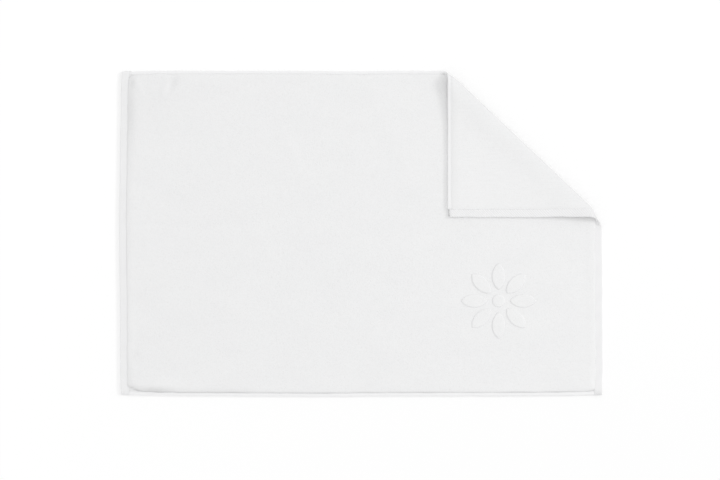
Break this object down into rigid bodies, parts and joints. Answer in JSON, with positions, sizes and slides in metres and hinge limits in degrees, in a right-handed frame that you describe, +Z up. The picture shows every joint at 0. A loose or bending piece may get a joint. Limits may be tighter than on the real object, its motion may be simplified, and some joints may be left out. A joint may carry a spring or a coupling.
{
  "type": "bath mat",
  "caption": "Rectangular white terry bath mat with turned hems, a raised rosette and a corner that turns over on a diagonal fold.",
  "frame": {"origin": "centre of the underside, on the floor", "axes": "+X along the mat's length, +Y across it towards the turned corner's side, +Z up"},
  "size_m": [0.74, 0.5, 0.0104],
  "materials": {
    "terry_pile": "white cotton terry loops, matt",
    "raised_pile": "white cotton pile, taller and denser, matt",
    "ground_weave": "white cotton plain weave, matt",
    "flat_woven_hem": "white cotton twill band, slight sheen",
    "hem_thread": "white cotton sewing thread"
  },
  "bodies": {
    "mat": {"ground_cloth": "ground_weave", "face_pile": "terry_pile", "reverse_pile": "terry_pile", "end_hem_left": "flat_woven_hem", "end_hem_right": "flat_woven_hem", "side_hem_back": "flat_woven_hem", "side_hem_front": "flat_woven_hem", "stitch_end_left": "hem_thread", "stitch_end_right": "hem_thread", "stitch_side_back": "hem_thread", "stitch_side_front": "hem_thread", "rosette": "raised_pile", "fold_ground_cloth": "ground_weave", "fold_face_pile": "terry_pile", "fold_reverse_pile": "terry_pile", "fold_end_hem": "flat_woven_hem", "fold_side_hem": "flat_woven_hem"},
    "corner": {"corner_ground_cloth": "ground_weave", "corner_face_pile": "terry_pile", "corner_reverse_pile": "terry_pile", "corner_end_hem": "flat_woven_hem", "corner_side_hem": "flat_woven_hem", "corner_stitch_end": "hem_thread", "corner_stitch_side": "hem_thread"}
  },
  "joints": [
    {"name": "corner_fold", "type": "hinge", "parent": "mat", "child": "corner", "pos_m": [0.2545, 0.1345, 0.0052], "axis": [-0.7071, 0.7071, 0], "range_deg": [0, 180], "deforming": ["fold_ground_cloth", "fold_face_pile", "fold_reverse_pile", "fold_end_hem", "fold_side_hem"]}
  ]
}
